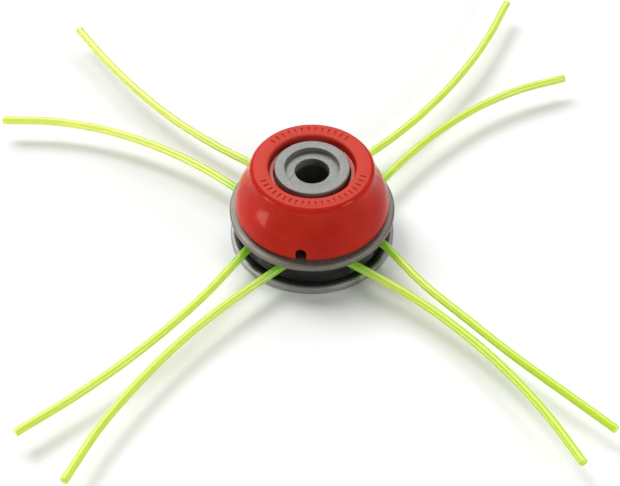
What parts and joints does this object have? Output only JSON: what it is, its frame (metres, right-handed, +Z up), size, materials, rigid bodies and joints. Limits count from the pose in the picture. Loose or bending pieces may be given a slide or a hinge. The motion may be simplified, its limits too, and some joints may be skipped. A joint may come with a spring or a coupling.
{
  "type": "fixed line trimmer head",
  "caption": "Round trimmer head: two metal plates with black liners hold looped nylon cutting lines, under a bell-shaped plastic cover with a central hub bore.",
  "frame": {"origin": "centre of the lower disc's underside, the face that the head stands on", "axes": "+Z up along the spindle axis towards the gearbox; +X and +Y run midway between neighbouring posts"},
  "size_m": [0.2873, 0.3037, 0.0458],
  "materials": {
    "plate": "fine cast grain, satin",
    "hub_steel": "fine grained matte grey",
    "cover_plastic": "glossy moulded flank, fine matte top face",
    "liner_plastic": "black moulded nylon, satin",
    "post_steel": "turned and blackened",
    "screw_steel": "black oxide",
    "line_nylon": "translucent yellow-green monofilament"
  },
  "bodies": {
    "root": {"lower_disc": "plate", "lower_liner": "liner_plastic", "upper_liner": "liner_plastic", "upper_flange": "plate", "hub": "hub_steel", "split_ring": "hub_steel", "cover": "cover_plastic", "post_1": "post_steel", "post_2": "post_steel", "post_3": "post_steel", "post_4": "post_steel", "post_screw_1": "screw_steel", "post_screw_2": "screw_steel", "post_screw_3": "screw_steel", "post_screw_4": "screw_steel", "cover_screw_1": "screw_steel", "cover_screw_2": "screw_steel", "cover_screw_3": "screw_steel", "cover_screw_4": "screw_steel", "line_1": "line_nylon", "line_2": "line_nylon", "line_3": "line_nylon", "line_4": "line_nylon"}
  },
  "joints": []
}
